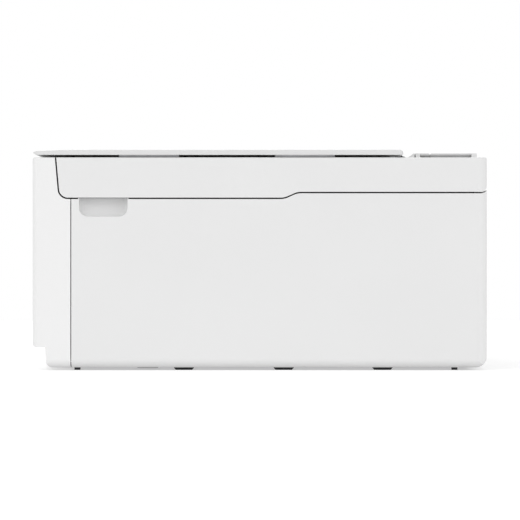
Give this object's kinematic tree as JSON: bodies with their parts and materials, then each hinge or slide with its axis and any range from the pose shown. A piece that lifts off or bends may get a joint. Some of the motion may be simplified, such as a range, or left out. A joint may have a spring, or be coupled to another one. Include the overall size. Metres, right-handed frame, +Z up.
{
  "type": "inkjet printer",
  "caption": "Compact all-in-one inkjet printer with a lift-up scanner unit, hinged document cover, rear feed covers, front paper cassette and pull-out output tray.",
  "frame": {"origin": "centre of the footprint, on the surface that the feet stand on", "axes": "+X to the right as one faces the front, -Y the front, +Z up"},
  "size_m": [0.403, 0.315, 0.1528],
  "materials": {
    "white_shell": "fine spark-textured white moulding",
    "white_front": "smoother white moulding",
    "white_cover": "satin white moulding",
    "panel_grey": "satin light grey panel",
    "window_clear": "smoked clear pane",
    "button_grey": "satin grey caps",
    "inner_dark": "dark grey inner moulding",
    "base_grey": "mid grey moulding",
    "carriage_black": "black moulding",
    "tank_black": "translucent black tanks",
    "gear_nylon": "natural acetal",
    "sheet_steel": "zinc-plated sheet",
    "bright_steel": "ground steel",
    "brass": "turned brass",
    "motor_zinc": "plated motor can",
    "rubber_dark": "matt rubber",
    "glass": "clear float glass",
    "pad_foam": "white laminated foam",
    "supply_black": "black moulding",
    "board_green": "solder-masked board",
    "usb_steel": "plated shell"
  },
  "bodies": {
    "printer": {"base_case": "base_grey", "side_cover_right": "white_shell", "side_cover_left": "white_shell", "rear_cover": "white_shell", "front_bezel": "white_front", "control_panel": "panel_grey", "display_window": "window_clear", "inner_deck": "inner_dark", "rubber_feet": "rubber_dark", "case_screws": "bright_steel", "chassis_frame": "sheet_steel", "print_platen": "inner_dark", "carriage_belt": "rubber_dark", "carriage_motor": "motor_zinc", "feed_motor": "motor_zinc", "power_supply": "supply_black", "power_inlet": "supply_black", "main_board": "board_green", "usb_socket": "usb_steel", "maintenance_frame": "inner_dark", "scanner_hinge_brackets": "sheet_steel"},
    "scanner_unit": {"scanner_top_case": "white_shell", "scanner_base": "inner_dark", "platen_glass": "glass", "scan_guide_rod": "bright_steel"},
    "lid_posts": {"hinge_posts": "inner_dark"},
    "lid": {"document_cover": "white_cover", "document_pad": "pad_foam", "lid_bumpers": "rubber_dark"},
    "scan_bar": {"scan_sensor_bar": "carriage_black"},
    "rear_tray": {"rear_tray_cover": "white_cover"},
    "feed_flap": {"feed_slot_cover": "white_cover"},
    "rear_guide_r": {"rear_guide_right": "inner_dark"},
    "rear_guide_l": {"rear_guide_left": "inner_dark"},
    "rear_door": {"rear_access_cover": "white_shell"},
    "front_flap": {"output_cover": "white_front"},
    "tray": {"output_tray": "white_front"},
    "shelf": {"output_shelf": "white_front"},
    "cassette": {"cassette_tray": "white_front"},
    "lifter": {"lift_plate": "sheet_steel"},
    "side_guide_r": {"paper_guide_right": "base_grey"},
    "side_guide_l": {"paper_guide_left": "base_grey"},
    "end_guide": {"paper_end_guide": "base_grey"},
    "pickup": {"pickup_arm": "inner_dark"},
    "pickup_wheel": {"pickup_roller": "rubber_dark"},
    "feed_shaft": {"feed_roller": "bright_steel"},
    "idler": {"idler_gear": "gear_nylon"},
    "eject_shaft": {"eject_roller": "bright_steel"},
    "pinion": {"motor_pinion": "brass"},
    "carriage": {"print_carriage": "carriage_black", "print_head": "carriage_black", "ink_tanks": "tank_black"},
    "drive_pulley": {"carriage_drive_pulley": "gear_nylon"},
    "idler_pulley": {"carriage_idler_pulley": "gear_nylon"},
    "cap": {"cleaning_cap": "rubber_dark"},
    "power_button_body": {"power_button": "button_grey"},
    "home_button_body": {"home_button": "button_grey"},
    "ok_button_body": {"ok_button": "button_grey"},
    "stop_button_body": {"stop_button": "button_grey"},
    "start_button_body": {"start_button": "button_grey"}
  },
  "joints": [
    {"name": "scanner_unit_hinge", "type": "hinge", "parent": "printer", "child": "scanner_unit", "pos_m": [0, 0.153, 0.1281], "axis": [-1, 0, 0], "range_deg": [0, 45]},
    {"name": "cover_lift", "type": "slide", "parent": "scanner_unit", "child": "lid_posts", "axis": [0, 0, 1], "range_m": [0, 0.012]},
    {"name": "document_cover_hinge", "type": "hinge", "parent": "lid_posts", "child": "lid", "pos_m": [0, 0.097, 0.151], "axis": [-1, 0, 0], "range_deg": [0, 100]},
    {"name": "scan_bar_slide", "type": "slide", "parent": "scanner_unit", "child": "scan_bar", "axis": [1, 0, 0], "range_m": [0, 0.288]},
    {"name": "rear_tray_cover_hinge", "type": "hinge", "parent": "scanner_unit", "child": "rear_tray", "pos_m": [0, 0.1522, 0.1509], "axis": [-1, 0, 0], "range_deg": [0, 105]},
    {"name": "feed_slot_cover_hinge", "type": "hinge", "parent": "scanner_unit", "child": "feed_flap", "pos_m": [0, 0.112, 0.1511], "axis": [1, 0, 0], "range_deg": [0, 70]},
    {"name": "rear_guide_right_slide", "type": "slide", "parent": "scanner_unit", "child": "rear_guide_r", "axis": [-1, 0, 0], "range_m": [0, 0.048]},
    {"name": "rear_guide_left_slide", "type": "slide", "parent": "scanner_unit", "child": "rear_guide_l", "axis": [1, 0, 0], "range_m": [0, 0.048]},
    {"name": "rear_access_hinge", "type": "hinge", "parent": "printer", "child": "rear_door", "pos_m": [0, 0.1564, 0.0352], "axis": [-1, 0, 0], "range_deg": [0, 90]},
    {"name": "output_cover_hinge", "type": "hinge", "parent": "printer", "child": "front_flap", "pos_m": [0, -0.1564, 0.0462], "axis": [1, 0, 0], "range_deg": [0, 90]},
    {"name": "output_tray_slide", "type": "slide", "parent": "printer", "child": "tray", "axis": [0, -1, 0], "range_m": [0, 0.09]},
    {"name": "output_shelf_slide", "type": "slide", "parent": "tray", "child": "shelf", "axis": [0, -1, 0], "range_m": [0, 0.06]},
    {"name": "cassette_slide", "type": "slide", "parent": "printer", "child": "cassette", "axis": [0, -1, 0], "range_m": [0, 0.16]},
    {"name": "lift_plate_hinge", "type": "hinge", "parent": "cassette", "child": "lifter", "pos_m": [0, 0.0352, 0.0086], "axis": [1, 0, 0], "range_deg": [0, 6]},
    {"name": "paper_guide_right_slide", "type": "slide", "parent": "cassette", "child": "side_guide_r", "axis": [-1, 0, 0], "range_m": [0, 0.05]},
    {"name": "paper_guide_left_slide", "type": "slide", "parent": "cassette", "child": "side_guide_l", "axis": [1, 0, 0], "range_m": [0, 0.05]},
    {"name": "paper_end_guide_slide", "type": "slide", "parent": "cassette", "child": "end_guide", "axis": [0, 1, 0], "range_m": [0, 0.06]},
    {"name": "pickup_arm_hinge", "type": "hinge", "parent": "printer", "child": "pickup", "pos_m": [0, 0.052, 0.05], "axis": [1, 0, 0], "range_deg": [0, 12]},
    {"name": "pickup_roller_spin", "type": "hinge", "parent": "pickup", "child": "pickup_wheel", "pos_m": [0, 0.096, 0.031], "axis": [1, 0, 0], "continuous": true},
    {"name": "feed_roller_spin", "type": "hinge", "parent": "printer", "child": "feed_shaft", "pos_m": [0, 0.022, 0.0615], "axis": [1, 0, 0], "continuous": true},
    {"name": "idler_gear_spin", "type": "hinge", "parent": "printer", "child": "idler", "pos_m": [0, -0.0116, 0.0615], "axis": [1, 0, 0], "continuous": true},
    {"name": "eject_roller_spin", "type": "hinge", "parent": "printer", "child": "eject_shaft", "pos_m": [0, -0.042, 0.0615], "axis": [1, 0, 0], "continuous": true},
    {"name": "motor_pinion_spin", "type": "hinge", "parent": "printer", "child": "pinion", "pos_m": [0, 0.0116, 0.04349], "axis": [1, 0, 0], "continuous": true},
    {"name": "carriage_slide", "type": "slide", "parent": "printer", "child": "carriage", "axis": [-1, 0, 0], "range_m": [0, 0.27]},
    {"name": "drive_pulley_spin", "type": "hinge", "parent": "printer", "child": "drive_pulley", "pos_m": [-0.184, 0, 0.092], "axis": [0, 1, 0], "continuous": true},
    {"name": "idler_pulley_spin", "type": "hinge", "parent": "printer", "child": "idler_pulley", "pos_m": [0.184, 0, 0.092], "axis": [0, 1, 0], "continuous": true},
    {"name": "cleaning_cap_lift", "type": "slide", "parent": "printer", "child": "cap", "axis": [0, 0, -1], "range_m": [0, 0.006]},
    {"name": "power_button_press", "type": "slide", "parent": "printer", "child": "power_button_body", "axis": [0, 1, 0], "range_m": [0, 0.001], "stiffness_N_per_m": 300},
    {"name": "home_button_press", "type": "slide", "parent": "printer", "child": "home_button_body", "axis": [0, 1, 0], "range_m": [0, 0.001], "stiffness_N_per_m": 300},
    {"name": "ok_button_press", "type": "slide", "parent": "printer", "child": "ok_button_body", "axis": [0, 1, 0], "range_m": [0, 0.001], "stiffness_N_per_m": 300},
    {"name": "stop_button_press", "type": "slide", "parent": "printer", "child": "stop_button_body", "axis": [0, 1, 0], "range_m": [0, 0.001], "stiffness_N_per_m": 300},
    {"name": "start_button_press", "type": "slide", "parent": "printer", "child": "start_button_body", "axis": [0, 1, 0], "range_m": [0, 0.001], "stiffness_N_per_m": 300}
  ],
  "couplings": [
    {"joint": "rear_guide_left_slide", "follows": "rear_guide_right_slide", "ratio": 1},
    {"joint": "paper_guide_left_slide", "follows": "paper_guide_right_slide", "ratio": 1},
    {"joint": "idler_gear_spin", "follows": "feed_roller_spin", "ratio": -0.90909},
    {"joint": "eject_roller_spin", "follows": "feed_roller_spin", "ratio": 1.25},
    {"joint": "motor_pinion_spin", "follows": "feed_roller_spin", "ratio": -3.3333},
    {"joint": "drive_pulley_spin", "follows": "carriage_slide", "rad_per_m": 131.58},
    {"joint": "idler_pulley_spin", "follows": "carriage_slide", "rad_per_m": 131.58}
  ]
}
